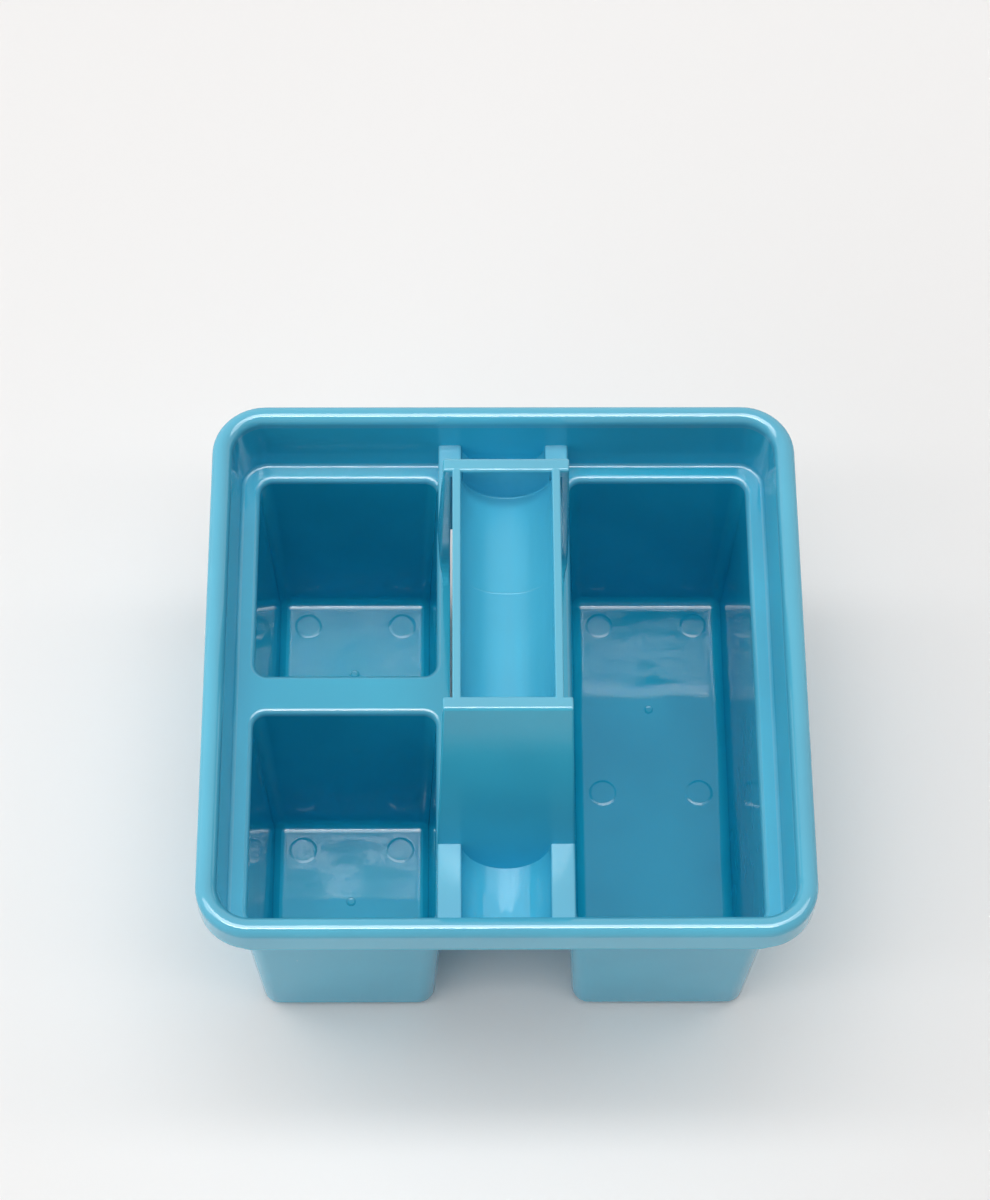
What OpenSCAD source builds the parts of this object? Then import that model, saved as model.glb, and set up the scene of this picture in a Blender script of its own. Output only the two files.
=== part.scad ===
// Three-bin tool caddy with a centre handle.
// One injection-moulded body: a rolled rim and collar carry a recessed deck, three drafted bins
// hang below the deck, and a central column of two saddles and two posts holds up a pen tray,
// which is also the grip. The modules below follow the features of the moulding.
// Origin: centre of the footprint, on the table. +X right, +Y back, +Z up.

/* [Overall] */
// Width over the rolled rim, left to right
body_w = 150; // [120:1:200]
// Depth over the rolled rim, front to back
body_d = 146.6; // [115:0.1:200]
// Outside corner radius of the rim in plan
corner_r = 13.5; // [12:0.5:20]
// Height of the rim crest above the table
rim_z = 85.6; // [60:0.1:120]
// General wall thickness of the moulding
wall = 2; // [1.5:0.1:3]

/* [Rim and collar] */
// Width of the half-round bead on the rim
bead_w = 5.2; // [4.8:0.1:7]
// Thickness of the skirt that hangs outside the collar
skirt_t = 1.6; // [1.2:0.1:2]
// Drop of the skirt below the rim crest
skirt_drop = 9.6; // [6:0.1:15]
// How far the collar wall leans in between bead and deck
collar_run = 1.35; // [0.5:0.05:2.5]
// Fillet where the collar meets the deck
collar_fillet = 0.8; // [0.3:0.1:1.5]

/* [Deck] */
// Height of the deck above the table
deck_z = 64.9; // [45:0.1:90]
// Width of the ledge between the collar and the bin walls
ledge_w = 4.75; // [3:0.05:8]
// Width of the divider between the two left bins, wall to wall
divider_w = 10.9; // [8:0.1:20]
// Rounding along the mouth of each bin
edge_r = 1.5; // [0.5:0.1:1.8]
// Half width of the open slot below the handle
slot_x = 13.8; // [10:0.1:15]

/* [Bins] */
// Distance from the centre plane to the inner wall of the bins
bin_x = 17.3; // [15:0.1:25]
// Draft of the side walls in degrees
side_draft = 2.5; // [0.5:0.1:5]
// Draft of the front and back walls in degrees
end_draft = 3.3; // [0.5:0.1:5]
// Corner radius of the bins in plan
bin_r = 3.3; // [2:0.1:8]
// Fillet around the bin floors
floor_r = 3; // [1:0.1:4]
// Rounding around the outside of the bin bottoms
foot_r = 4.6; // [2:0.1:5]
// Diameter of the round pads left by the ejector pins on the bin floors
pin_d = 7; // [4:0.1:10]

/* [Saddles] */
// Height of the rails above the table
rail_z = 74; // [66:0.1:84]
// Half width over the two rails
rail_x = 16.9; // [14:0.1:20]
// Radius of the trough between the rails
trough_r = 11; // [8:0.1:13]
// Depth of the trough below the rails
trough_depth = 10.4; // [6:0.1:11]

/* [Handle] */
// Height of the handle top above the table
handle_z = 126.8; // [100:0.1:160]
// Half length of the handle over the post tops
top_y = 33.5; // [25:0.1:45]
// Half width of the post tops
top_x = 15.2; // [14:0.1:18]
// Thickness of the post tops, front to back
top_t = 3.5; // [2.5:0.1:5]
// Distance from the centre to the outer face of a post at rail height
foot_y = 45.1; // [38:0.1:55]
// Distance from the centre to the inner edge of a post at deck height
heel_y = 36.7; // [30:0.1:42]
// Fillet between the inner edge of a post and the deck
heel_r = 5.5; // [1:0.1:8]
// Half width of the pen tray, outside
tray_x = 13; // [11:0.1:15]
// Depth of the pen tray
tray_depth = 13.2; // [10:0.1:16]

/* [Hidden] */
$fn = 48;
plastic = "#64B7D6";
eps = 0.01;
// Bead and collar
bead_r = bead_w / 2;
bead_z = rim_z - bead_r;
collar_top = bead_z - 1;
deck_u = bead_w + collar_run;
deck_low = deck_z - wall;
// Bin mouths, at the wall faces
bin_far = body_w / 2 - deck_u - ledge_w;
bin_end = body_d / 2 - deck_u - ledge_w;
bin_w = bin_far - bin_x;
bin_mid = (bin_far + bin_x) / 2;
small_d = bin_end - divider_w / 2;
small_mid = (bin_end + divider_w / 2) / 2;
// Lean of the posts: outer face and inner edge, run per unit of height
lean_out = (foot_y - top_y) / (handle_z - rail_z);
lean_in = (heel_y - top_y + top_t) / (handle_z - deck_z);
trough_z = rail_z - trough_depth + trough_r;
trough_low = trough_z - trough_r - wall;
tray_r = tray_x - wall;
tray_z = handle_z - tray_depth + tray_r;
tray_low = tray_z - tray_x;

// Distance from the centre of a post's outer face at height z
function post_out(z) = top_y + (handle_z - z) * lean_out;
// Distance from the centre of a post's inner edge at height z
function post_in(z) = top_y - top_t + (handle_z - z) * lean_in;

// Rounded rectangle centred on the origin
module plan(w, d, r) {
    hull()
        for (sx = [-1, 1], sy = [-1, 1])
            translate([sx * (w / 2 - r), sy * (d / 2 - r)])
                circle(r);
}

// Sweeps a profile around a rounded rectangle. The profile's x runs inward from the outline
// and its y is height, so drafted walls turn into true cones at the corners.
module around(w, d, r) {
    for (m = [0, 1]) {
        mirror([m, 0, 0])
            translate([w / 2, d / 2 - r, 0])
                rotate([90, 0, 0])
                    linear_extrude(d - 2 * r)
                        mirror([1, 0])
                            children();
        mirror([0, m, 0])
            translate([r - w / 2, d / 2, 0])
                rotate([90, 0, 90])
                    linear_extrude(w - 2 * r)
                        mirror([1, 0])
                            children();
    }
    for (mx = [0, 1], my = [0, 1])
        mirror([mx, 0, 0])
            mirror([0, my, 0])
                translate([w / 2 - r, d / 2 - r, 0])
                    rotate_extrude(angle = 90)
                        translate([r, 0])
                            mirror([1, 0])
                                children();
}

// Extrudes a y-z profile along x, centred
module across(w) {
    rotate([90, 0, 90])
        translate([0, 0, -w / 2])
            linear_extrude(w)
                children();
}

// Extrudes an x-z profile along y, from y0 to y1
module along(y0, y1) {
    translate([0, y1, 0])
        rotate([90, 0, 0])
            linear_extrude(y1 - y0)
                children();
}

// Ball with true poles, for rounding the corners of the bins
module ball(r) {
    rotate_extrude($fn = 32)
        intersection() {
            circle(r, $fn = 32);
            translate([0, -r])
                square([r, 2 * r]);
        }
}

// Solid of a drafted tub: plan corners of radius rc at the top, bottom edges rounded to rb
module tub_solid(w, d, z0, z1, rc, rb) {
    drop = z1 - z0 - rb;
    bx = w / 2 - drop * tan(side_draft) - rb / cos(side_draft);
    by = d / 2 - drop * tan(end_draft) - rb / cos(end_draft);
    hull()
        for (sx = [-1, 1], sy = [-1, 1]) {
            translate([sx * (w / 2 - rc), sy * (d / 2 - rc), z1 - eps])
                cylinder(r = rc, h = eps, $fn = 32);
            translate([sx * bx, sy * by, z0 + rb])
                ball(rb);
        }
}

// One bin, open at the top, its mouth centred on the origin in plan.
// pins lists the y positions of the pairs of ejector pads, gate is that of the gate mark.
module bin(w, d, pins, gate) {
    difference() {
        tub_solid(w + 2 * wall, d + 2 * wall, 0, deck_low, bin_r + wall, foot_r);
        tub_solid(w + 2 * wall * tan(side_draft), d + 2 * wall * tan(end_draft),
                  wall, deck_z, bin_r, floor_r);
    }
    for (sx = [-1, 1], y = pins)
        translate([sx * 13.1, y, wall - 0.5])
            cylinder(d1 = pin_d + 0.6, d2 = pin_d - 0.2, h = 0.7);
    translate([0, gate, wall - 0.5])
        difference() {
            cylinder(d = 2.4, h = 0.65);
            translate([0, 0, 0.5])
                cylinder(d = 1.4, h = 1);
        }
}

// Profile of the rim: half-round bead, skirt outside, short seat for the collar inside
module rim_profile() {
    difference() {
        union() {
            translate([bead_r, bead_z])
                circle(bead_r);
            translate([0, rim_z - skirt_drop])
                square([bead_w, skirt_drop - bead_r]);
        }
        translate([skirt_t, 0])
            square([bead_w, collar_top]);
        translate([skirt_t, 0])
            square([bead_w - wall - skirt_t, bead_z]);
    }
}

// Profile of the collar: a drafted wall with a fillet onto the deck
module collar_profile() {
    polygon([[deck_u - wall, deck_z], [deck_u, deck_z],
             [bead_w, collar_top], [bead_w - wall, collar_top]]);
    difference() {
        translate([deck_u - 0.1, deck_z])
            square([collar_fillet + 0.1, collar_fillet]);
        translate([deck_u + collar_fillet, deck_z + collar_fillet])
            circle(collar_fillet);
    }
}

// Profile of the rounded lip around a bin mouth
module lip_profile() {
    translate([0, deck_low])
        square([edge_r, wall - edge_r]);
    intersection() {
        translate([0, deck_z - edge_r])
            circle(edge_r);
        translate([0, deck_z - edge_r])
            square(edge_r);
    }
}

// Space taken by one saddle, from the collar to the outer face of the post
module saddle_space(grow = 0) {
    inner = body_d / 2 - deck_u;
    rise = (rail_z - deck_z) * collar_run / (collar_top - deck_z);
    across(2 * bin_x + grow)
        polygon([[post_out(50), 50], [inner, 50], [inner, deck_z],
                 [inner + rise, rail_z], [post_out(rail_z), rail_z]]);
}

// Saddle at the back: two rails on drafted side walls with a half-round trough between them.
// The front one is its mirror image.
module saddle() {
    y0 = post_out(rail_z) - 1;
    y1 = body_d / 2;
    intersection() {
        difference() {
            union() {
                along(y0, y1)
                    polygon([[-bin_x, deck_z], [-rail_x, rail_z], [rail_x, rail_z], [bin_x, deck_z]]);
                along(y0, y1)
                    intersection() {
                        translate([0, trough_z])
                            circle(trough_r + wall);
                        translate([-trough_r - wall, 0])
                            square([2 * (trough_r + wall), rail_z]);
                    }
            }
            along(y0 - 1, y1 + 1)
                translate([0, trough_z])
                    circle(trough_r);
            for (m = [0, 1])
                mirror([m, 0, 0])
                    along(y0 - 1, y1 + 1)
                        difference() {
                            polygon([[0, 0], [bin_x - wall, 0], [bin_x - wall, deck_z],
                                     [rail_x - wall, rail_z - wall], [0, rail_z - wall]]);
                            translate([0, trough_z])
                                circle(trough_r + wall);
                        }
        }
        saddle_space();
    }
}

// Outline of the leaning post between its top edge and the deck
module post_body() {
    hull() {
        translate([-top_x, top_y - top_t, handle_z - eps])
            cube([2 * top_x, top_t, eps]);
        translate([0, 0, deck_z])
            linear_extrude(eps)
                polygon([[-bin_x + 0.8, heel_y], [bin_x - 0.8, heel_y],
                         [bin_x - 0.1, post_out(deck_z)], [0.1 - bin_x, post_out(deck_z)]]);
    }
}

// Channel inside the post, open towards the grip, which leaves a front plate and two flanges.
// The closed end of the pen tray stays in it as a thin wall.
module post_channel() {
    x0 = top_x - wall;
    x1 = bin_x - wall;
    plate = wall / cos(atan(lean_out));
    z0 = trough_low - 1;
    z1 = handle_z - 4;
    difference() {
        hull() {
            translate([0, 0, z1])
                linear_extrude(eps)
                    polygon([[-x0, 20], [x0, 20],
                             [x0, post_out(z1) - plate], [-x0, post_out(z1) - plate]]);
            translate([0, 0, z0])
                linear_extrude(eps)
                    polygon([[-slot_x, 20], [slot_x, 20],
                             [x1, post_out(z0) - plate], [-x1, post_out(z0) - plate]]);
        }
        along(0, top_y - top_t + wall)
            tray_outline();
        across(2 * x0)
            polygon([[0, tray_z], [top_y - top_t + wall, tray_z],
                     [top_y - top_t + wall, handle_z], [0, handle_z]]);
    }
}

// Opening in the post below the rails, outside the round end that closes the trough
module post_opening() {
    along(20, 60)
        difference() {
            polygon([[-slot_x, trough_low - 1], [slot_x, trough_low - 1],
                     [slot_x, rail_z - wall], [-slot_x, rail_z - wall]]);
            translate([0, trough_z])
                circle(trough_r + wall);
        }
}

// Foot of the post between the bins, which closes the end of the trough
module post_foot() {
    across(2 * slot_x)
        polygon([[post_out(trough_low) - 3, trough_low], [post_out(deck_z) - 3, deck_z],
                 [post_out(deck_z), deck_z], [post_out(trough_low), trough_low]]);
}

// Fillets between the inner edges of the flanges and the deck strips
module heel_fillets() {
    lean = atan(lean_in);
    reach = heel_r / tan(45 - lean / 2);
    for (m = [0, 1])
        mirror([m, 0, 0])
            translate([(slot_x + bin_x - edge_r) / 2, 0, 0])
                across(bin_x - edge_r - slot_x)
                    difference() {
                        polygon([[heel_y, deck_z], [heel_y - reach, deck_z],
                                 [heel_y - reach * sin(lean), deck_z + reach * cos(lean)]]);
                        translate([heel_y - reach, deck_z + heel_r])
                            circle(heel_r);
                    }
}

// Post at the back; the front one is its mirror image
module post() {
    difference() {
        union() {
            post_body();
            post_foot();
        }
        post_channel();
        post_opening();
    }
    heel_fillets();
}

// Outside of the pen tray in cross-section
module tray_outline() {
    intersection() {
        union() {
            translate([0, tray_z])
                circle(tray_x);
            translate([-tray_x, tray_z])
                square([2 * tray_x, 50]);
        }
        translate([-tray_x, 0])
            square([2 * tray_x, handle_z]);
    }
}

// Rolled rim with its skirt
module rim() {
    color(plastic)
        around(body_w, body_d, corner_r)
            rim_profile();
}

// Collar wall between rim and deck
module collar() {
    color(plastic)
        difference() {
            around(body_w, body_d, corner_r)
                collar_profile();
            saddle_space();
            mirror([0, 1, 0])
                saddle_space();
        }
}

// Plan of the deck: outer edge, bin mouths cut back by the lips, slot under the handle and
// the open undersides of the saddles
module deck_plan() {
    out_w = body_w - 2 * (deck_u - wall);
    out_d = body_d - 2 * (deck_u - wall);
    inner = body_d / 2 - deck_u;
    difference() {
        plan(out_w, out_d, corner_r - deck_u + wall);
        square([2 * slot_x, 2 * post_out(deck_z)], center = true);
        square([2 * (bin_x - wall), 2 * inner], center = true);
        mouths(edge_r);
    }
    difference() {
        square([2 * slot_x + 4, 2 * post_out(deck_z)], center = true);
        square([2 * slot_x, 2 * post_out(deck_z)], center = true);
    }
    difference() {
        square([2 * bin_x, 2 * inner], center = true);
        square([2 * (bin_x - wall), 2 * inner], center = true);
        square([2 * bin_x, 2 * heel_y], center = true);
    }
}

// Plans of the three bin mouths, grown by a margin
module mouths(grow) {
    translate([bin_mid, 0])
        plan(bin_w + 2 * grow, 2 * (bin_end + grow), bin_r + grow);
    for (s = [-1, 1])
        translate([-bin_mid, s * small_mid])
            plan(bin_w + 2 * grow, small_d + 2 * grow, bin_r + grow);
}

// Deck: ledge, divider and the strips beside the slot, with rounded lips at the bin mouths
module deck() {
    color(plastic) {
        translate([0, 0, deck_low])
            linear_extrude(wall)
                deck_plan();
        translate([bin_mid, 0, 0])
            around(bin_w + 2 * edge_r, 2 * (bin_end + edge_r), bin_r + edge_r)
                lip_profile();
        for (s = [-1, 1])
            translate([-bin_mid, s * small_mid, 0])
                around(bin_w + 2 * edge_r, small_d + 2 * edge_r, bin_r + edge_r)
                    lip_profile();
    }
}

// Bin at the back on the left
module rear_left_bin() {
    color(plastic)
        translate([-bin_mid, small_mid, 0])
            bin(bin_w, small_d, [17.1], 2.2);
}

// Bin at the front on the left
module front_left_bin() {
    color(plastic)
        translate([-bin_mid, -small_mid, 0])
            bin(bin_w, small_d, [17.1], 2.2);
}

// Long bin on the right
module right_bin() {
    color(plastic)
        translate([bin_mid, 0, 0])
            bin(bin_w, 2 * bin_end, [-50.9, 0, 50.9], 25);
}

// Rails and trough in front of the handle
module front_saddle() {
    color(plastic)
        mirror([0, 1, 0])
            saddle();
}

// Rails and trough behind the handle
module rear_saddle() {
    color(plastic)
        saddle();
}

// Front post of the handle
module front_post() {
    color(plastic)
        mirror([0, 1, 0])
            post();
}

// Rear post of the handle
module rear_post() {
    color(plastic)
        post();
}

// Pen tray between the posts, which is also the grip
module pen_tray() {
    color(plastic)
        along(top_t - top_y, top_y - top_t)
            difference() {
                tray_outline();
                translate([0, tray_z])
                    circle(tray_r);
                translate([-tray_r, tray_z])
                    square([2 * tray_r, 50]);
            }
}

rim();
collar();
deck();
rear_left_bin();
front_left_bin();
right_bin();
front_saddle();
rear_saddle();
front_post();
rear_post();
pen_tray();
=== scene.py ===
import bmesh
import bpy
import math
import numpy as np
from mathutils import Matrix


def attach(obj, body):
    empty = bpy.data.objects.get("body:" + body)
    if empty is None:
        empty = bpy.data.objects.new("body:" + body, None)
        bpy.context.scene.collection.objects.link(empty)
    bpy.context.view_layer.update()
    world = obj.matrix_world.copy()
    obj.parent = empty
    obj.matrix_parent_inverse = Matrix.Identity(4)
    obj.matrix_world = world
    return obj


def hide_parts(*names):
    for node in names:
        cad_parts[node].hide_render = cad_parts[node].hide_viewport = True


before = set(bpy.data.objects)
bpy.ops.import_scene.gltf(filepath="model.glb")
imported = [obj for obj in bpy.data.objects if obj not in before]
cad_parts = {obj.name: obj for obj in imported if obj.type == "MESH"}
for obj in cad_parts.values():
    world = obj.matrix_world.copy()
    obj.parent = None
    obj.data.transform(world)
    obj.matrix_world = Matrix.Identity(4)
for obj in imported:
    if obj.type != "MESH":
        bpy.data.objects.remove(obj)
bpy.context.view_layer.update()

# ---------------------------------------------------------------------------------- Camera
# A long lens high in front of the caddy, looking down at it at about 63 degrees. It is turned
# a little to the right and rolled by one degree, so the rim isn't quite level in the frame.
PITCH, YAW, ROLL = np.radians([62.867, 1.249, 1.038])
EYE = (-0.010424, -0.348365, 0.797058)
SENSOR, FOCAL_PIXELS, FRAME_PIXELS = 36.0, 3189.0, 1200.0
ahead = np.array([math.sin(YAW) * math.cos(PITCH), math.cos(YAW) * math.cos(PITCH), -math.sin(PITCH)])
level = np.array([math.cos(YAW), -math.sin(YAW), 0.0])
above = np.cross(level, ahead)
right = math.cos(ROLL) * level + math.sin(ROLL) * above
up = math.cos(ROLL) * above - math.sin(ROLL) * level
camera_data = bpy.data.cameras.new("camera")
camera_data.sensor_fit = "VERTICAL"
camera_data.sensor_height = SENSOR
camera_data.lens = SENSOR * FOCAL_PIXELS / FRAME_PIXELS
camera_data.clip_end = 50.0
camera = bpy.data.objects.new("camera", camera_data)
bpy.context.scene.collection.objects.link(camera)
camera.matrix_world = Matrix([*zip(right, up, -ahead, EYE), (0.0, 0.0, 0.0, 1.0)])
bpy.context.scene.camera = camera

# ---------------------------------------------------------------------------------- Floor
# A matt white sweep of paper under the caddy, a single flat sheet much larger than the view.
# Its white is a little warm and cloudy, and it has a fine paper tooth.
FLOOR_REACH, FLOOR_DROP = 6.0, 0.0002
PAPER_DARK, PAPER_LIGHT = (0.855, 0.838, 0.828, 1.0), (0.865, 0.852, 0.842, 1.0)
floor_mesh = bpy.data.meshes.new("floor")
floor_corners = [(side * FLOOR_REACH, end * FLOOR_REACH, -FLOOR_DROP)
                 for side, end in ((-1, -1), (1, -1), (1, 1), (-1, 1))]
floor_mesh.from_pydata(floor_corners, [], [(0, 1, 2, 3)])
floor = bpy.data.objects.new("floor", floor_mesh)
bpy.context.scene.collection.objects.link(floor)
paper = bpy.data.materials.new("paper")
paper.use_nodes = True
nodes, links = paper.node_tree.nodes, paper.node_tree.links
shader = nodes["Principled BSDF"]
shader.inputs["Roughness"].default_value = 0.75
shader.inputs["Specular IOR Level"].default_value = 0.15
place = nodes.new("ShaderNodeTexCoord")
tooth = nodes.new("ShaderNodeTexNoise")
tooth.inputs["Scale"].default_value = 900.0
links.new(place.outputs["Object"], tooth.inputs["Vector"])
clouds = nodes.new("ShaderNodeTexNoise")
clouds.inputs["Scale"].default_value = 4.0
links.new(place.outputs["Object"], clouds.inputs["Vector"])
tint = nodes.new("ShaderNodeMix")
tint.data_type = "RGBA"
tint.inputs[6].default_value = PAPER_DARK
tint.inputs[7].default_value = PAPER_LIGHT
links.new(clouds.outputs["Fac"], tint.inputs["Factor"])
links.new(tint.outputs[2], shader.inputs["Base Color"])
grain = nodes.new("ShaderNodeBump")
grain.inputs["Strength"].default_value = 0.02
links.new(tooth.outputs["Fac"], grain.inputs["Height"])
links.new(grain.outputs["Normal"], shader.inputs["Normal"])
floor_mesh.materials.append(paper)

# ---------------------------------------------------------------------------------- Light
# Two long soft boxes hang over the caddy from left to right, one in front of it and one behind.
# For light and shade the world adds a glow overhead and low windows at both sides. Gloss sees
# a world of its own: a box overhead with a bright tube along its front, and pale walls.
LAMP_LENGTH, LAMP_DEPTH, LAMP_X, LAMP_Z = 5.0, 0.35, -0.3, 2.2
CORE, WINGS, TUBE = 5.5, 6.5, 30.0
OVERHEAD, LEFT_WINDOW, RIGHT_WINDOW = 2.98, 1.94, 0.36
FRONT_WALL, BACK_WALL = 1.0, 1.9
for name, y, watts in (("front_box", -0.72, 16.0), ("back_box", 0.45, 23.0)):
    lamp_data = bpy.data.lights.new(name, "AREA")
    lamp_data.shape = "RECTANGLE"
    lamp_data.size = LAMP_LENGTH
    lamp_data.size_y = LAMP_DEPTH
    lamp_data.energy = watts
    lamp = bpy.data.objects.new(name, lamp_data)
    lamp.location = (LAMP_X, y, LAMP_Z)
    lamp.visible_glossy = False
    bpy.context.scene.collection.objects.link(lamp)
room = bpy.data.worlds.new("room")
room.use_nodes = True
bpy.context.scene.world = room
nodes, links = room.node_tree.nodes, room.node_tree.links
nodes.clear()


def math_node(operation, *values):
    """Math node in the current tree: operation(values), where each value is a number or socket."""
    node = nodes.new("ShaderNodeMath")
    node.operation = operation
    for socket, value in zip(node.inputs, values):
        if isinstance(value, (int, float)):
            socket.default_value = value
        else:
            links.new(value, socket)
    return node.outputs[0]


def product(first, *others):
    """The product of numbers and sockets, multiplied in their order."""
    for other in others:
        first = math_node("MULTIPLY", first, other)
    return first


def step_node(value, low, high, to_low=0.0, to_high=1.0):
    """Smooth step of a socket: to_low at low, to_high at high, 3 t^2 - 2 t^3 between them."""
    node = nodes.new("ShaderNodeMapRange")
    node.interpolation_type = "SMOOTHSTEP"
    for name, number in zip(("From Min", "From Max", "To Min", "To Max"), (low, high, to_low, to_high)):
        node.inputs[name].default_value = number
    links.new(value, node.inputs["Value"])
    return node.outputs["Result"]


def angle_step(angle, low, high):
    """Smooth step of an angle, from 0 at low to 1 at high, both in degrees."""
    return step_node(angle, math.radians(low), math.radians(high))


sky = nodes.new("ShaderNodeTexCoord")
axes = nodes.new("ShaderNodeSeparateXYZ")
links.new(sky.outputs["Generated"], axes.inputs[0])
toward_right, toward_back, upward = axes.outputs

# Angles from straight up, towards the back and the right. The box is brightest in its core
back_angle = math_node("ARCTAN2", toward_back, upward)
side_angle = math_node("ARCTAN2", toward_right, upward)
across = product(angle_step(back_angle, -20, -16), angle_step(back_angle, 14, 10))
wings = product(angle_step(side_angle, -65, -55), angle_step(side_angle, 55, 43))
core = product(angle_step(side_angle, -36, -26), angle_step(side_angle, 22, 12))
box = product(across, math_node("ADD", product(core, CORE), product(wings, WINGS)))

# The bright tube along the front of the box is a little wider on the left than on the right
tube_edge = step_node(side_angle, math.radians(-4), math.radians(4),
                      math.radians(-22.3), math.radians(-20.2))
past_edge = math_node("SUBTRACT", back_angle, tube_edge)
tube = product(angle_step(past_edge, 0, 0.6), angle_step(back_angle, -15, -16), core, TUBE)
walls = step_node(toward_back, -0.9, 0.45, FRONT_WALL, BACK_WALL)

elevation = math_node("ARCSINE", upward)
glow = product(angle_step(elevation, 60, 72), OVERHEAD)
low_band = product(angle_step(elevation, -6, 6), angle_step(elevation, 41, 29))
left_window = step_node(toward_right, -0.1, -0.6, 0.0, LEFT_WINDOW)
right_window = step_node(toward_right, 0.1, 0.6, 0.0, RIGHT_WINDOW)
windows = product(low_band, math_node("ADD", left_window, right_window))

soft_light = nodes.new("ShaderNodeBackground")
links.new(math_node("ADD", glow, windows), soft_light.inputs["Strength"])
gloss_light = nodes.new("ShaderNodeBackground")
links.new(math_node("ADD", walls, math_node("ADD", box, tube)), gloss_light.inputs["Strength"])
which_ray = nodes.new("ShaderNodeLightPath")
either = nodes.new("ShaderNodeMixShader")
links.new(which_ray.outputs["Is Glossy Ray"], either.inputs["Fac"])
links.new(soft_light.outputs[0], either.inputs[1])
links.new(gloss_light.outputs[0], either.inputs[2])
world_out = nodes.new("ShaderNodeOutputWorld")
links.new(either.outputs[0], world_out.inputs["Surface"])
bpy.context.scene.view_settings.view_transform = "Standard"

# ---------------------------------------------------------------------------------- Rim
# The rolled rim: a half-round bead with a thin skirt outside, moulded hollow. The whole caddy
# is one glossy light-blue polypropylene moulding, so all its pieces have this plastic, in the
# finishes that the parts of the mould give it. Each finish also sets a painted lightness, lighter
# on lit parts and deeper on shaded ones, and a painted sheen, as painted light and shade. Sizes
# from here on are in millimetres.
BODY_X, BODY_Y, CORNER = 75.0, 73.3, 13.5
RIM_Z, BEAD_R, SKIRT_T, SKIRT_Z = 85.6, 2.6, 1.6, 76.0
SKIRT_TOP, HOLLOW_Z, RUN_ON = 79.0, 83.0, 0.05
SEAT_Z, DECK_Z, COLLAR_U, WALL = 82.0, 64.9, 6.55, 2.0


def loops(x0, x1, y0, y1, r, z, n=12):
    """Rings round rounded rectangles, one for each height z: corner centre + r (cos a, sin a),
    a = 90 k to 90 (k + 1) degrees for corner k; r is a number, a column or four per ring."""
    z = np.atleast_1d(np.asarray(z, float))
    rows = len(z)
    x0, x1, y0, y1 = (np.broadcast_to(v, rows)[:, None] for v in (x0, x1, y0, y1))
    r = np.asarray(r, float)
    r = np.broadcast_to(r if r.ndim == 2 else r.reshape(-1, 1), (rows, 4))
    cx = np.hstack([x1 - r[:, :1], x0 + r[:, 1:3], x1 - r[:, 3:]])[..., None]
    cy = np.hstack([y1 - r[:, :2], y0 + r[:, 2:]])[..., None]
    a = np.radians(90 * np.arange(4)[:, None] + np.linspace(0, 90, n + 1))
    x = cx + r[..., None] * np.cos(a)
    y = cy + r[..., None] * np.sin(a)
    return np.stack([x, y, z[:, None, None] + 0 * x], axis=-1).reshape(rows, -1, 3)


def rounded(corners, radii, n=6, ease=0.05):
    """Closed outline through corners, each replaced by an arc tangent to both its sides, with
    one more point ease beyond each end of the arc so that the flats stay flat."""
    corners = np.asarray(corners, float)
    outline = []
    for before, corner, after, r in zip(np.roll(corners, 1, 0), corners, np.roll(corners, -1, 0), radii):
        if not r:
            outline.append(corner[None])
            continue
        e0, e1 = (v / np.linalg.norm(v) for v in (before - corner, after - corner))
        half = math.acos(np.clip(e0 @ e1, -1, 1)) / 2
        middle = corner + (e0 + e1) / np.linalg.norm(e0 + e1) * r / math.sin(half)
        reach = r / math.tan(half)
        start, end = corner + e0 * reach - middle, corner + e1 * reach - middle
        turn = math.pi - 2 * half
        t = np.linspace(0, 1, n + 1)[:, None]
        arc = (np.sin((1 - t) * turn) * start + np.sin(t * turn) * end) / math.sin(turn)
        outline += [(corner + e0 * (reach + ease))[None], middle + arc,
                    (corner + e1 * (reach + ease))[None]]
    return np.vstack(outline)


def build(name, points, faces, sharp=32):
    """Object at the origin from points in millimetres and faces, with doubles merged, normals
    turned outward and edges marked sharp where faces meet at more than the sharp angle."""
    mesh = bpy.data.meshes.new(name)
    mesh.from_pydata((points * 0.001).tolist(), [], faces)
    clean = bmesh.new()
    clean.from_mesh(mesh)
    bmesh.ops.remove_doubles(clean, verts=clean.verts, dist=2e-7)
    bmesh.ops.dissolve_degenerate(clean, dist=2e-7, edges=clean.edges)
    bmesh.ops.recalc_face_normals(clean, faces=clean.faces)
    clean.to_mesh(mesh)
    clean.free()
    mesh.shade_smooth()
    mesh.set_sharp_from_angle(angle=math.radians(sharp))
    piece = bpy.data.objects.new(name, mesh)
    bpy.context.scene.collection.objects.link(piece)
    return piece


def skin(name, shells, tube=False):
    """Object of closed shells. A shell is rings p[i, j] in millimetres: quads (i, j), (i, j + 1),
    (i + 1, j + 1), (i + 1, j), closed end to end as a tube or by a face on the end rings."""
    points, faces, used = [], [], 0
    for p in shells:
        index = used + np.arange(p.shape[0] * p.shape[1]).reshape(p.shape[:2])
        near = index if tube else index[:-1]
        far = np.roll(index, -1, axis=0) if tube else index[1:]
        quads = np.stack([near, np.roll(near, -1, axis=1), np.roll(far, -1, axis=1), far], axis=-1)
        faces += quads.reshape(-1, 4).tolist()
        faces += [] if tube else [index[0].tolist(), index[-1].tolist()]
        points.append(p.reshape(-1, 3))
        used += p.shape[0] * p.shape[1]
    return build(name, np.vstack(points), faces)


def around(profile):
    """Rings of a profile (inward distance u, height z) swept round the body's outline."""
    u, z = np.asarray(profile, float).T
    return loops(u - BODY_X, BODY_X - u, u - BODY_Y, BODY_Y - u, CORNER - u, z)


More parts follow.
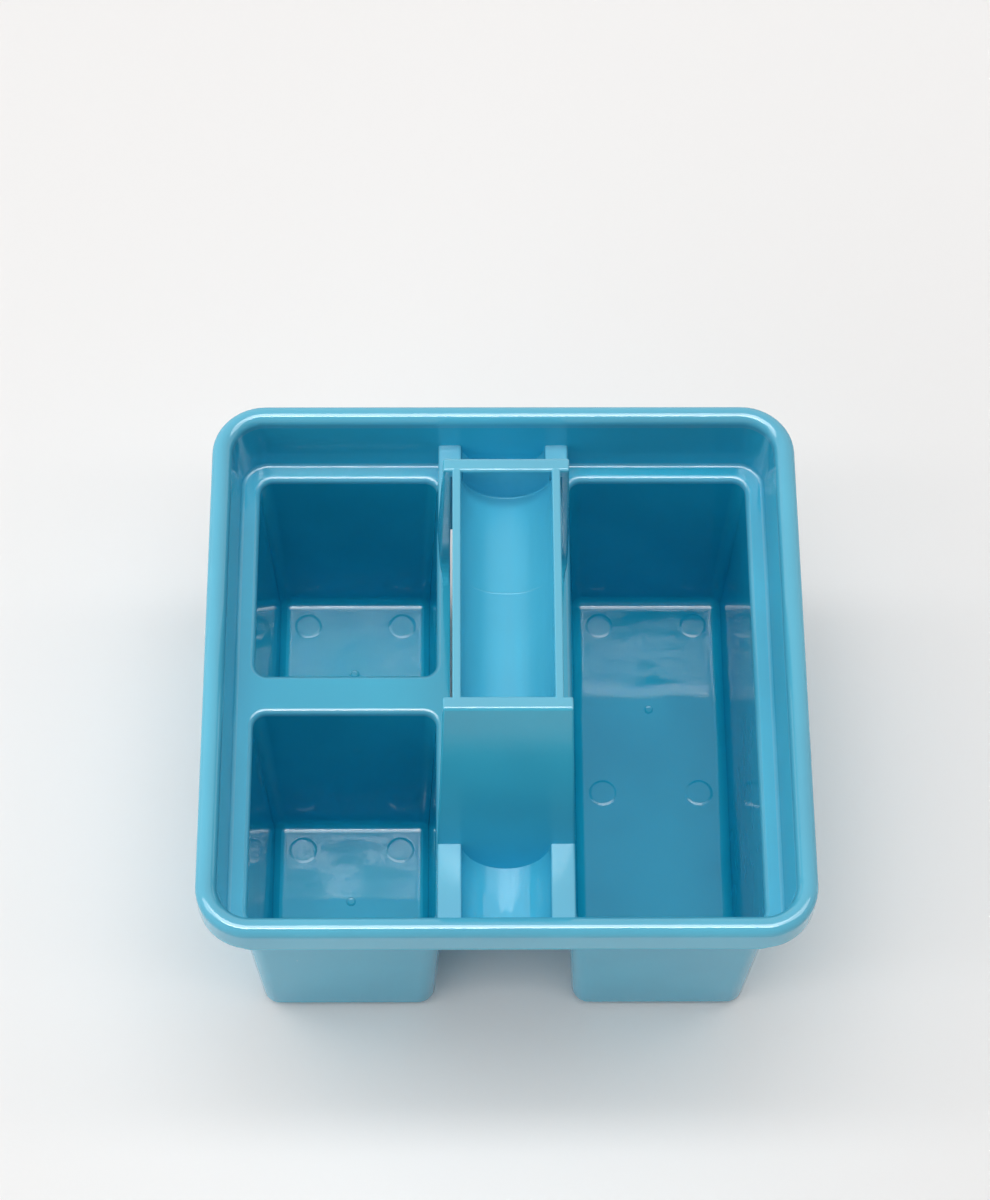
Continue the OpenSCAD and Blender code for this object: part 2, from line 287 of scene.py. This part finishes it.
# The draft line of the collar is tangent to the bead and passes through its foot on the deck
to_foot = np.array([COLLAR_U - BEAD_R, DECK_Z - (RIM_Z - BEAD_R)])
foot_far = np.linalg.norm(to_foot)
LEAN = math.asin(BEAD_R / foot_far) - math.atan2(to_foot[0], -to_foot[1])


def collar_u(z):
    """Inward distance of the collar's inner face at height z, on the draft line."""
    return COLLAR_U - (np.asarray(z) - DECK_Z) * math.tan(-LEAN)


turn = np.linspace(math.pi, -LEAN, 41)
bead = np.c_[BEAD_R + BEAD_R * np.cos(turn), RIM_Z - BEAD_R + BEAD_R * np.sin(turn)]
bead_foot = bead[-1, 1] - RUN_ON
seat = float(collar_u(SEAT_Z))
skirt = rounded([(SKIRT_T, SKIRT_TOP), (SKIRT_T, SKIRT_Z), (0, SKIRT_Z), (0, SKIRT_TOP)], (0, 0.4, 0.5, 0))
rim_profile = np.vstack([
    skirt, [(0, RIM_Z - BEAD_R - RUN_ON)], bead,
    [(collar_u(bead_foot), bead_foot), (seat, SEAT_Z), (seat - WALL, SEAT_Z),
     (seat - WALL, HOLLOW_Z), (SKIRT_T, HOLLOW_Z)]])
rim = skin("rim", [around(rim_profile)], tube=True)

# What every face of the moulding shows: a slow drift of pigment, fine flow streaks along Y, the
# faint orange peel of a polished mould, a longer ripple and a few specks of dust. Each finish adds
# a painted lightness and a painted sheen, as painted light and shade
PIGMENT_DEEP, PIGMENT_PALE = (0.008, 0.350, 0.530, 1.0), (0.018, 0.460, 0.660, 1.0)
DUST_AND_SHEEN, RELIEF = (0.55, 0.68, 0.74, 1.0), 0.00004
moulded = bpy.data.node_groups.new("moulded", "ShaderNodeTree")
for name in ("Roughness", "Streaks", "Painted_lightness", "Painted_sheen", "Ripple", "Relief"):
    moulded.interface.new_socket(name=name, in_out="INPUT", socket_type="NodeSocketFloat")
for name, kind in (("Color", "Color"), ("Roughness", "Float"), ("Normal", "Vector")):
    moulded.interface.new_socket(name=name, in_out="OUTPUT", socket_type="NodeSocket" + kind)
nodes, links = moulded.nodes, moulded.links
given = nodes.new("NodeGroupInput").outputs
place = nodes.new("ShaderNodeTexCoord").outputs["Object"]


def noise_node(scale, detail=2.0, stretch=(1, 1, 1)):
    """Noise of the current tree's place, from 0 to 1 about 0.5: scale is the number of lumps in
    a metre, and its grain is stretched by 1 / stretch along each axis."""
    stretched = nodes.new("ShaderNodeVectorMath")
    stretched.operation = "MULTIPLY"
    stretched.inputs[1].default_value = stretch
    links.new(place, stretched.inputs[0])
    node = nodes.new("ShaderNodeTexNoise")
    node.inputs["Scale"].default_value = scale
    node.inputs["Detail"].default_value = detail
    links.new(stretched.outputs[0], node.inputs["Vector"])
    return node.outputs["Fac"]


drift = noise_node(28.0)
streak = noise_node(700.0, 2.0, (1, 0.03, 1))
peel = noise_node(420.0, 1.0)
ripple = noise_node(58.0, 1.0)

# About one Voronoi cell in twenty-four holds a speck at its centre
cells = nodes.new("ShaderNodeTexVoronoi")
cells.inputs["Scale"].default_value = 210.0
links.new(place, cells.inputs["Vector"])
pick = nodes.new("ShaderNodeSeparateXYZ")
links.new(cells.outputs["Color"], pick.inputs[0])
speck = product(step_node(cells.outputs["Distance"], 0.045, 0.03), step_node(pick.outputs[0], 0.955, 0.96))

# The pigment drifts at random, and each finish moves it lighter on lit parts and deeper on shaded ones, as
# painted light and shade
pigment = nodes.new("ShaderNodeMix")
pigment.data_type = "RGBA"
pigment.inputs[6].default_value = PIGMENT_DEEP
pigment.inputs[7].default_value = PIGMENT_PALE
links.new(math_node("ADD", step_node(drift, 0.3, 0.7, -0.2, 0.2), given["Painted_lightness"]), pigment.inputs["Factor"])
# Each finish mixes in the light dust colour as a painted sheen; the specks of dust add it as real dust
dust_and_sheen = nodes.new("ShaderNodeMix")
dust_and_sheen.data_type = "RGBA"
dust_and_sheen.inputs[7].default_value = DUST_AND_SHEEN
links.new(math_node("ADD", product(speck, 0.6), given["Painted_sheen"]), dust_and_sheen.inputs["Factor"])
links.new(pigment.outputs[2], dust_and_sheen.inputs[6])

uneven = product(math_node("SUBTRACT", drift, 0.5), 0.06)
scuffed = product(step_node(streak, 0.45, 0.75), given["Streaks"], 0.12)
rough = math_node("ADD", math_node("ADD", given["Roughness"], uneven),
                  math_node("ADD", scuffed, product(speck, 0.4)))
height = math_node("ADD", product(ripple, given["Ripple"]), product(peel, 0.03))
height = math_node("ADD", height, product(streak, given["Streaks"], 0.12))
surface = nodes.new("ShaderNodeBump")
surface.inputs["Distance"].default_value = RELIEF
links.new(math_node("ADD", height, given["Relief"]), surface.inputs["Height"])
result = nodes.new("NodeGroupOutput").inputs
links.new(dust_and_sheen.outputs[2], result["Color"])
links.new(rough, result["Roughness"])
links.new(surface.outputs["Normal"], result["Normal"])


def finish(name, roughness, specular=0.5, streaks=0.0, painted_sheen=0.0, ripple=0.3, painted_lightness=0.5):
    """Material of the caddy's light-blue plastic: the moulded group in a Principled shader. The
    finish's lightness is painted light and shade, and its sheen a painted reflection.
    """
    material = bpy.data.materials.new(name)
    material.use_nodes = True
    tree = material.node_tree
    shader = tree.nodes["Principled BSDF"]
    shader.inputs["Specular IOR Level"].default_value = specular
    mould = tree.nodes.new("ShaderNodeGroup")
    mould.name = "mould"
    mould.node_tree = moulded
    settings = {"Roughness": roughness, "Streaks": streaks, "Painted_sheen": painted_sheen, "Ripple": ripple, "Painted_lightness": painted_lightness}
    for socket, number in settings.items():
        mould.inputs[socket].default_value = number
    for socket, target in (("Color", "Base Color"), ("Roughness", "Roughness"), ("Normal", "Normal")):
        tree.links.new(mould.outputs[socket], shader.inputs[target])
    return material


def paint(piece, first, *others):
    """Gives a piece its material, and each further (material, chosen) to the faces for which
    chosen(x, y, z, up) holds: the face's centre in mm and the upward part of its normal."""
    mesh = piece.data
    mesh.materials.append(first)
    centre, normal = np.empty(len(mesh.polygons) * 3), np.empty(len(mesh.polygons) * 3)
    mesh.polygons.foreach_get("center", centre)
    mesh.polygons.foreach_get("normal", normal)
    x, y, z = centre.reshape(-1, 3).T * 1000
    slots = np.zeros(len(mesh.polygons), np.int32)
    for number, (material, chosen) in enumerate(others, 1):
        mesh.materials.append(material)
        slots[chosen(x, y, z, normal[2::3])] = number
    mesh.polygons.foreach_set("material_index", slots)


# The rim's finish carries a strong painted sheen, a painted reflection that whitens the bead and skirt
polished = finish("polished", 0.085, painted_sheen=0.135, ripple=0.06, painted_lightness=0.34)
paint(rim, polished)
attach(rim, "root")
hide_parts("rim")

# ---------------------------------------------------------------------------------- Collar
# The drafted wall between the bead and the deck, with a small fillet at its foot. It carries
# a narrow strip of the deck with it, so the fillet runs out on the flat. The fillet is as
# glossy as the rim, and the rest as the deck.
LEDGE_U, FILLET_IN, FILLET_OUT = 8.1, 0.9, 1.0
FILLET_TOP = DECK_Z + 1.0
collar_profile = rounded(
    [(seat, SEAT_Z), (COLLAR_U, DECK_Z), (LEDGE_U, DECK_Z), (LEDGE_U, DECK_Z - WALL),
     (COLLAR_U - WALL, DECK_Z - WALL), (seat - WALL, SEAT_Z)], (0, FILLET_IN, 0, 0, FILLET_OUT, 0), n=8)
collar = skin("collar", [around(collar_profile)], tube=True)
# The deck's finish is painted light, with a faint painted sheen, as painted light on the deck and the
# divider
deck_gloss = finish("deck_gloss", 0.06, painted_sheen=0.04, painted_lightness=0.65)
paint(collar, deck_gloss, (polished, lambda x, y, z, up: (z < FILLET_TOP) & (up > 0.1) & (up < 0.999)))
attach(collar, "root")
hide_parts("collar")

# ---------------------------------------------------------------------------------- Deck
# The flat ledge round the bins, the divider and the strips beside the slot: a 2 mm plate, in
# one frame of plate for each bin mouth. Its edge at the slot is softly broken.
BIN_X, BIN_FAR, BIN_END, DIVIDE, PLAN_R = 17.3, 63.7, 62.0, 5.45, 3.3
SLOT_X, SLOT_EASE, LIP_R = 13.8, 0.25, 1.5
LIP_OUT = LIP_R + 0.15
MOUTHS = {"rear_left_bin": (-BIN_FAR, -BIN_X, DIVIDE, BIN_END),
          "front_left_bin": (-BIN_FAR, -BIN_X, -BIN_END, -DIVIDE),
          "right_bin": (BIN_X, BIN_FAR, -BIN_END, BIN_END)}
deck_x, deck_y, deck_r = BODY_X - LEDGE_U, BODY_Y - LEDGE_U, CORNER - LEDGE_U
round_corners = ((0, deck_r, 0, 0), (0, 0, deck_r, 0), (deck_r, 0, 0, deck_r))

# The plate's outer edge from below: inset on the slot side, and height
slot_inset = np.array([0.0, 0.0, SLOT_EASE * 0.3, SLOT_EASE, SLOT_EASE + 0.3])
outer_z = np.array([DECK_Z - WALL, DECK_Z - SLOT_EASE, DECK_Z - SLOT_EASE * 0.3, DECK_Z, DECK_Z])
frames = []
for (x0, x1, y0, y1), corner_radii in zip(MOUTHS.values(), round_corners):
    from_x, to_x = (-deck_x, -SLOT_X - slot_inset) if x0 < 0 else (SLOT_X + slot_inset, deck_x)
    from_y, to_y = 0.0 if y0 > 0 else -deck_y, 0.0 if y1 < 0 else deck_y
    outer = loops(from_x, to_x, from_y, to_y, np.tile(np.array(corner_radii, float), (5, 1)), outer_z)
    inner = loops(x0 - LIP_OUT, x1 + LIP_OUT, y0 - LIP_OUT, y1 + LIP_OUT, PLAN_R + LIP_OUT,
                  [DECK_Z, DECK_Z - WALL])
    frames.append(np.vstack([outer, inner]))
deck = skin("deck", frames, tube=True)
paint(deck, deck_gloss)
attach(deck, "root")
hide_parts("deck")

# ---------------------------------------------------------------------------------- Bins
# Three drafted tubs of 2 mm wall. Each has a rounded lip, filleted floor and rounded foot, low
# round pads left by the ejector pins, and the small ring left by the gate. The lips are
# polished, the insides rippled and painted deep as painted shade, and the outsides plain, painted
# deeper still as painted shade under the deck, with a painted sheen.
FLOOR_Z, FLOOR_R, FOOT_R = 2.0, 3.0, 4.6
SIDE, END = math.tan(math.radians(2.5)), math.tan(math.radians(3.3))
MID = math.radians(2.9)
LIP_BASE = DECK_Z - LIP_R


def tub(x0, x1, y0, y1):
    """Rings from the middle of the floor up the inside, over the lip and down the outside. Walls
    run in by (63.4 - z) tan(draft); arcs are centre + r (cos t, sin t) between the flats."""
    t = np.linspace(math.pi / 2, MID, 13)
    up_t = t[::-1]
    floor_in = FLOOR_R / math.cos(MID) - FLOOR_R * np.cos(t)
    floor_z = FLOOR_Z + FLOOR_R - FLOOR_R * np.sin(t)
    floor_c = FLOOR_R * np.cos(t)
    lip_out = LIP_R / math.cos(MID) - LIP_R * np.cos(up_t)
    lip_z = LIP_BASE + LIP_R * np.sin(up_t)
    base = FLOOR_Z + FLOOR_R
    wall_z = np.array([base + 0.3, 20.0, 40.0, LIP_BASE - 0.2])
    wall_c = FLOOR_R + (PLAN_R - FLOOR_R) * (wall_z - base) / (LIP_BASE - base)
    foot_in = FOOT_R / math.cos(MID) - FOOT_R * np.cos(up_t)
    foot_z = FOOT_R - FOOT_R * np.sin(up_t)
    # columns: height, inset beyond the drafted wall, height whose draft applies, corner radius
    rows = [np.c_[FLOOR_Z, floor_in[0] + 0.4, base, 0.0],
            np.c_[floor_z, floor_in, np.full(13, base), floor_c],
            np.c_[wall_z, np.zeros(4), wall_z, wall_c],
            np.c_[lip_z, -lip_out, np.full(13, LIP_BASE), PLAN_R + lip_out],
            np.c_[[DECK_Z, DECK_Z - WALL], [-LIP_OUT] * 2, [LIP_BASE] * 2, [PLAN_R + LIP_OUT] * 2],
            np.c_[DECK_Z - WALL, -WALL, LIP_BASE, PLAN_R + WALL],
            np.c_[FOOT_R + 0.5, -WALL, FOOT_R + 0.5, FOOT_R],
            np.c_[foot_z, foot_in - WALL, np.full(13, FOOT_R), FOOT_R * np.cos(up_t)],
            np.c_[0.0, foot_in[-1] - WALL + 0.5, FOOT_R, 0.0]]
    z, inset, at, corner = np.vstack(rows).T
    dx, dy = inset + (LIP_BASE - at) * SIDE, inset + (LIP_BASE - at) * END
    return loops(x0 + dx, x1 - dx, y0 + dy, y1 - dy, corner, z, n=10)


def disc(x, y, radii, heights, n=40):
    """Rings of a round mark on a floor, centre (x, y): radius r (cos a, sin a) at each height
    above the floor, outermost first."""
    a = np.linspace(0, 2 * math.pi, n, endpoint=False)
    r = np.asarray(radii, float)[:, None]
    z = FLOOR_Z + np.asarray(heights, float)[:, None]
    return np.stack([x + r * np.cos(a), y + r * np.sin(a), z + 0 * r * a], axis=-1)


# Radii and heights of the marks start under the floor, and a pad's edge rises at about 12
# degrees. A bin has pads at (side, y) and a gate at y, both from its centre
PAD_X = 13.1
PAD_RADII = [3.8, 3.75, 3.65, 3.35, 3.15, 3.0, 2.8]
PAD_HEIGHTS = [-0.1, 0.0, 0.02, 0.085, 0.12, 0.13, 0.13]
GATE_RADII = [1.3, 1.25, 1.1, 0.95, 0.8, 0.7, 0.5]
GATE_HEIGHTS = [-0.1, 0.0, 0.12, 0.12, 0.04, 0.02, 0.02]
LEFT_MARKS = ([(-1, 17.1), (1, 17.1)], 2.2)
RIGHT_MARKS = ([(side, y) for side in (-1, 1) for y in (-50.9, 0.0, 50.9)], 25.0)
MARKS = {"rear_left_bin": LEFT_MARKS, "front_left_bin": LEFT_MARKS, "right_bin": RIGHT_MARKS}
PAD_TOP, LIP_FROM = FLOOR_Z + 0.3, DECK_Z - 1.7

# Inside the bins the plastic is painted deep as painted shade. The left bins' floors are painted
# lighter as painted light, and are more rippled than the walls and the right bin's floor
shaded_bin_gloss = finish("shaded_bin_gloss", 0.05, specular=0.3, ripple=4.0, painted_lightness=0.12)
lit_floor_gloss = finish("lit_floor_gloss", 0.05, specular=0.3, ripple=7.0, painted_sheen=0.02, painted_lightness=1.0)
shaded_outer_gloss = finish("shaded_outer_gloss", 0.06, painted_sheen=0.1, painted_lightness=0.05)
for name, (x0, x1, y0, y1) in MOUTHS.items():
    cx, cy = (x0 + x1) / 2, (y0 + y1) / 2
    pads, gate_y = MARKS[name]
    marks = [disc(cx + PAD_X * side, cy + y, PAD_RADII, PAD_HEIGHTS) for side, y in pads]
    marks.append(disc(cx, cy + gate_y, GATE_RADII, GATE_HEIGHTS))
    piece = skin(name, [tub(x0, x1, y0, y1)] + marks)
    paint(piece, shaded_bin_gloss,
          (lit_floor_gloss, lambda x, y, z, up: (z < PAD_TOP) & (up > 0.9) & (x < 0)),
          (deck_gloss, lambda x, y, z, up: z > LIP_FROM),
          (polished, lambda x, y, z, up: (z > LIP_FROM) & (up < 0.97)),
          (shaded_outer_gloss, lambda x, y, z, up: up < -0.001))
    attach(piece, "root")
    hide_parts(name)

# ---------------------------------------------------------------------------------- Saddles
# Two rails on drafted side walls carry a half-round trough between post and collar. Each
# saddle is one 2 mm thick section, open underneath, that dies into the collar and the post.
# The trough is glossy with a painted sheen, and the rails are rougher, with a stronger painted
# sheen.
RAIL_Z, RAIL_OUT_R, RAIL_IN_R = 74.0, 0.6, 0.5
TROUGH_R, TROUGH_Z, OVERLAP = 11.0, 74.6, 0.4
HANDLE_Z, OUT_TOP, OUT_RAIL, IN_TOP, IN_DECK = 126.8, 33.5, 45.1, 30.0, 36.7
OUT_LEAN, IN_LEAN = (OUT_RAIL - OUT_TOP) / (HANDLE_Z - RAIL_Z), (IN_DECK - IN_TOP) / (HANDLE_Z - DECK_Z)


def post_out(z):
    """Distance from the middle to the post's outer face at height z, on a leaning line."""
    return OUT_TOP + (HANDLE_Z - np.asarray(z)) * OUT_LEAN


def post_in(z):
    """Distance from the middle to the post's inner face at height z, on a leaning line."""
    return IN_TOP + (HANDLE_Z - np.asarray(z)) * IN_LEAN


def side_x(z):
    """Distance from the middle to the saddle's side at height z, drafted as the bins are."""
    return BIN_X - (np.asarray(z) - LIP_BASE) * SIDE


# The last corner only says which way the rail's inner edge turns down. The arc under the
# trough ends level with the underside of the rails
half_width = math.sqrt(TROUGH_R ** 2 - (TROUGH_Z - RAIL_Z) ** 2)
side_and_rail = rounded(
    [(side_x(LIP_BASE), LIP_BASE), (side_x(RAIL_Z), RAIL_Z), (half_width, RAIL_Z),
     (TROUGH_R - 0.15, RAIL_Z - 2.5)], (0, RAIL_OUT_R, RAIL_IN_R, 0))[:-1]
angle = np.radians(np.linspace(-15, -90, 31))
trough = np.c_[TROUGH_R * np.cos(angle), TROUGH_Z + TROUGH_R * np.sin(angle)]
angle = np.radians(np.linspace(-90, -11.6, 25))
under = np.c_[(TROUGH_R + WALL) * np.cos(angle), TROUGH_Z + (TROUGH_R + WALL) * np.sin(angle)]
inside = np.array([(side_x(RAIL_Z) - WALL, RAIL_Z - WALL), (side_x(LIP_BASE) - WALL, LIP_BASE)])
half = np.vstack([side_and_rail, trough])
flip = np.array([-1, 1])
section = np.vstack([half, (half * flip)[::-1][1:], (inside * flip)[::-1], (under * flip)[::-1],
                     under[1:], inside])
x, z = section.T
trough_gloss = finish("trough_gloss", 0.05, streaks=0.3, painted_sheen=0.09, painted_lightness=0.45)
# A rougher finish with a strong painted sheen, a painted highlight on the rails and on the tops of the
# posts and the tray
sheen_satin = finish("rail_and_top_sheen", 0.12, streaks=0.3, painted_sheen=0.18, painted_lightness=0.3)
for name, side in (("front_saddle", -1), ("rear_saddle", 1)):
    start = np.stack([x, side * (post_out(z) - OVERLAP), z], axis=-1)
    end = np.stack([x, side * (BODY_Y - collar_u(z) + OVERLAP), z], axis=-1)
    piece = skin(name, [np.stack([start, end])])
    paint(piece, trough_gloss,
          (sheen_satin, lambda x, y, z, up: (z > RAIL_Z - 1) & (np.abs(x) > TROUGH_R - 0.1)))
    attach(piece, "root")
    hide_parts(name)

# ---------------------------------------------------------------------------------- Posts
# Two leaning channel sections, open towards the grip: a plate with a flange down each side and
# a solid head. Below the rails the plate narrows to the round end of the trough, the flanges
# run out on the deck in a dull fillet, and every edge is broken. The tops are rougher and carry
# a strong painted sheen, a painted highlight.
HEEL_R, HEAD_Z, UNDER_Z, PLATE, SUNK = 5.5, 122.8, RAIL_Z - WALL, 2.05, 0.003
POST_X, DEEP_X, LIP_X, TOE_X, TOE_SPREAD = 17.2, 15.2, 16.5, 15.55, 0.4
POST_TAPER, LIP_TAPER, SLOT_TAPER = 2.0, 1.3, 0.6
HEEL_TOP, HEEL_Y = 72.0, 44.0
tilt = math.atan(IN_LEAN)
reach = HEEL_R / math.tan(math.pi / 4 - tilt / 2)
end_r = TROUGH_R + WALL

# Heights: the trough's round end and the heel's fillet, up to the underside of the rails, and
# then the flats. The tops are sunk by a hair, so they never share a plane with the tray's
bow = TROUGH_Z - end_r * np.cos(np.linspace(0, math.acos((TROUGH_Z - UNDER_Z) / end_r), 15))
rise = DECK_Z + HEEL_R + HEEL_R * np.sin(np.linspace(-math.pi / 2, -tilt, 11))
lower = np.unique(np.round(np.concatenate([bow, rise[rise < UNDER_Z]]), 4))
z = np.concatenate([lower, [UNDER_Z, 80.0, HEAD_Z, HEAD_Z, HANDLE_Z - SUNK]])
below = np.arange(len(z)) < len(lower)

# Distances from the middle at each height: the outer face, the inner one with the heel's arc,
# the plate's back and the trough's end
on_arc = np.clip((z - DECK_Z - HEEL_R) / HEEL_R, -1, 1)
y_out = post_out(z)
y_in = np.where(z < rise[-1], IN_DECK - reach + HEEL_R * np.sqrt(1 - on_arc ** 2), post_in(z))
y_plate = np.where(below, y_out, y_out - PLATE)
y_plate[-2:] = y_in[-2:]
y_end = np.where(below, y_out - PLATE, y_plate)

# Widths at each height: the flange's outside, its two inner corners, its lip and the trough's
# end. In the solid head the two inner corners are one
share = (z - DECK_Z) / (HANDLE_Z - DECK_Z)
x_out, x_near = POST_X - POST_TAPER * share, SLOT_X - SLOT_TAPER * share
x_deep = DEEP_X - POST_TAPER * share
x_deep[-2:] = x_near[-2:]
x_in = np.minimum(LIP_X - LIP_TAPER * share, TOE_X + np.maximum(z - DECK_Z, 0) * TOE_SPREAD)
x_end = np.sqrt(np.maximum(end_r ** 2 - (TROUGH_Z - np.minimum(z, UNDER_Z)) ** 2, 0))
columns = [(-x_out, y_out), (-x_deep, y_out), (-x_end, y_out), (x_end, y_out), (x_deep, y_out),
           (x_out, y_out), (x_in, y_in), (x_near, y_in), (x_deep, y_plate), (x_end, y_end),
           (-x_end, y_end), (-x_deep, y_plate), (-x_near, y_in), (-x_in, y_in)]
channel = np.stack([np.stack([x, y, z], axis=-1) for x, y in columns], axis=1)

# Quads join the rings, apart from those beside the trough's open end, which two walls close.
# Four more faces close the step under the plate and the flanges' feet, and one the top
per_ring = len(columns)
index = np.arange(len(z) * per_ring).reshape(-1, per_ring)
top, bottom = len(lower), len(lower) - 1
faces = []
for i in range(len(index) - 1):
    open_here = (1, 3, 8, 10) if i < top else ()
    pairs = [(j, (j + 1) % per_ring) for j in range(per_ring) if j not in open_here]
    pairs += [(3, 9), (10, 2)] if i < top else []
    faces += [[index[i, j], index[i, k], index[i + 1, k], index[i + 1, j]] for j, k in pairs]
step = [bottom, bottom, bottom, top]
faces += [index[step, [4, 3, 9, 8]], index[step, [1, 2, 10, 11]],
          index[0, [0, 1, 12, 13]], index[0, [4, 5, 6, 7]], index[-1]]
faces = [[int(corner) for corner in face] for face in faces]


def break_edges(piece, small, large, chosen):
    """Bevel modifier: sharp edges get the radius small, and those between points for which
    chosen(x, y, z) holds at both ends, and which run along X, get the radius large."""
    mesh = piece.data
    co, ends = np.empty(len(mesh.vertices) * 3), np.empty(len(mesh.edges) * 2, np.int32)
    mesh.vertices.foreach_get("co", co)
    mesh.edges.foreach_get("vertices", ends)
    co, ends = co.reshape(-1, 3) * 1000, ends.reshape(-1, 2)
    sharp = np.zeros(len(ends), bool)
    mesh.attributes["sharp_edge"].data.foreach_get("value", sharp)
    first, second = co[ends[:, 0]], co[ends[:, 1]]
    along_x = (np.abs(first[:, 1] - second[:, 1]) < 0.01) & (np.abs(first[:, 2] - second[:, 2]) < 0.01)
    wide = along_x & chosen(*first.T) & chosen(*second.T)
    weight = np.where(sharp, np.where(wide, 1.0, small / large), 0.0).astype(np.float32)
    mesh.attributes.new("bevel_weight_edge", "FLOAT", "EDGE").data.foreach_set("value", weight)
    broken = piece.modifiers.new("broken_edges", "BEVEL")
    broken.width = large * 0.001
    broken.segments = 5
    broken.limit_method = "WEIGHT"
    broken.use_clamp_overlap = False
    broken.harden_normals = True


NEAR_TOP = HANDLE_Z - 0.1
SHEEN_TOP_Z = HANDLE_Z - 0.8
# The posts' faces carry a light painted sheen; their upward faces near the top take the rougher finish
post_satin = finish("post_satin", 0.17, streaks=0.3, painted_sheen=0.06, painted_lightness=0.32)
heel_matt = finish("heel_matt", 0.5, specular=0.2, painted_sheen=0.03, painted_lightness=0.4)
for name, side in (("front_post", -1), ("rear_post", 1)):
    piece = build(name, (channel * np.array([1, side, 1])).reshape(-1, 3), faces)
    break_edges(piece, 0.5, 0.8, lambda x, y, z: z > NEAR_TOP)
    paint(piece, post_satin,
          (sheen_satin, lambda x, y, z, up: (z > SHEEN_TOP_Z) & (up > 0.7)),
          (heel_matt, lambda x, y, z, up: (z < HEEL_TOP) & (up > 0.12) & (np.abs(y) < HEEL_Y)))
    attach(piece, "root")
    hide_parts(name)

# ---------------------------------------------------------------------------------- Pen tray
# The grip between the posts is a half-round tray with a 2 mm wall and closed ends, which lie
# inside the posts. Its top is flush with theirs, rougher and with a strong painted sheen; the rest
# is satin with streaks along it and a lighter painted sheen, and the faint raised line where two
# flow fronts met crosses it near the middle.
TRAY_X, TRAY_R, TRAY_Z, TRAY_END, HOLLOW_END = 13.0, 11.0, 124.6, 31.9, 29.97
angle = np.radians(np.linspace(180, 360, 49))
outside = np.vstack([[(-TRAY_X, HANDLE_Z)],
                     np.c_[TRAY_X * np.cos(angle), TRAY_Z + TRAY_X * np.sin(angle)],
                     [(TRAY_X, HANDLE_Z)]])
hollow = np.vstack([[(TRAY_R, HANDLE_Z)],
                    np.c_[TRAY_R * np.cos(angle), TRAY_Z + TRAY_R * np.sin(angle)][::-1],
                    [(-TRAY_R, HANDLE_Z)]])
shut = np.c_[hollow[:, 0], np.full(len(hollow), HANDLE_Z)]
rows = []
for y, inner in ((-TRAY_END, shut), (-HOLLOW_END, shut), (-HOLLOW_END, hollow),
                 (HOLLOW_END, hollow), (HOLLOW_END, shut), (TRAY_END, shut)):
    x, z = np.vstack([outside, inner]).T
    rows.append(np.stack([x, y + 0 * x, z], axis=-1))
tray = skin("pen_tray", [np.stack(rows)])
break_edges(tray, 0.4, 0.8, lambda x, y, z: (z > NEAR_TOP) & (np.abs(y) < 30))
tray_satin = finish("tray_satin", 0.32, streaks=1.0, painted_sheen=0.1, painted_lightness=0.38)

# The weld line lies at y = 3.4 mm, wanders a little, and fades towards the tray's sides. Along
# it the painted sheen is a little stronger, a painted highlight on the raised line
nodes, links = tray_satin.node_tree.nodes, tray_satin.node_tree.links
place = nodes.new("ShaderNodeTexCoord").outputs["Object"]
along = nodes.new("ShaderNodeSeparateXYZ")
links.new(place, along.inputs[0])
wander = product(math_node("SUBTRACT", noise_node(160.0), 0.5), 0.0012)
weld_y = math_node("ADD", along.outputs[1], wander)
inside_tray = step_node(math_node("ABSOLUTE", along.outputs[0]), 0.0095, 0.007)
weld = product(inside_tray, product(step_node(weld_y, 0.0031, 0.0034), step_node(weld_y, 0.0037, 0.0034)))
links.new(product(weld, 1.2), nodes["mould"].inputs["Relief"])
# The weld line strengthens the tray's painted sheen, a painted highlight
links.new(math_node("ADD", product(weld, 0.06), 0.1), nodes["mould"].inputs["Painted_sheen"])
paint(tray, tray_satin, (sheen_satin, lambda x, y, z, up: (z > SHEEN_TOP_Z) & (up > 0.7)))
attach(tray, "root")
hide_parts("pen_tray")
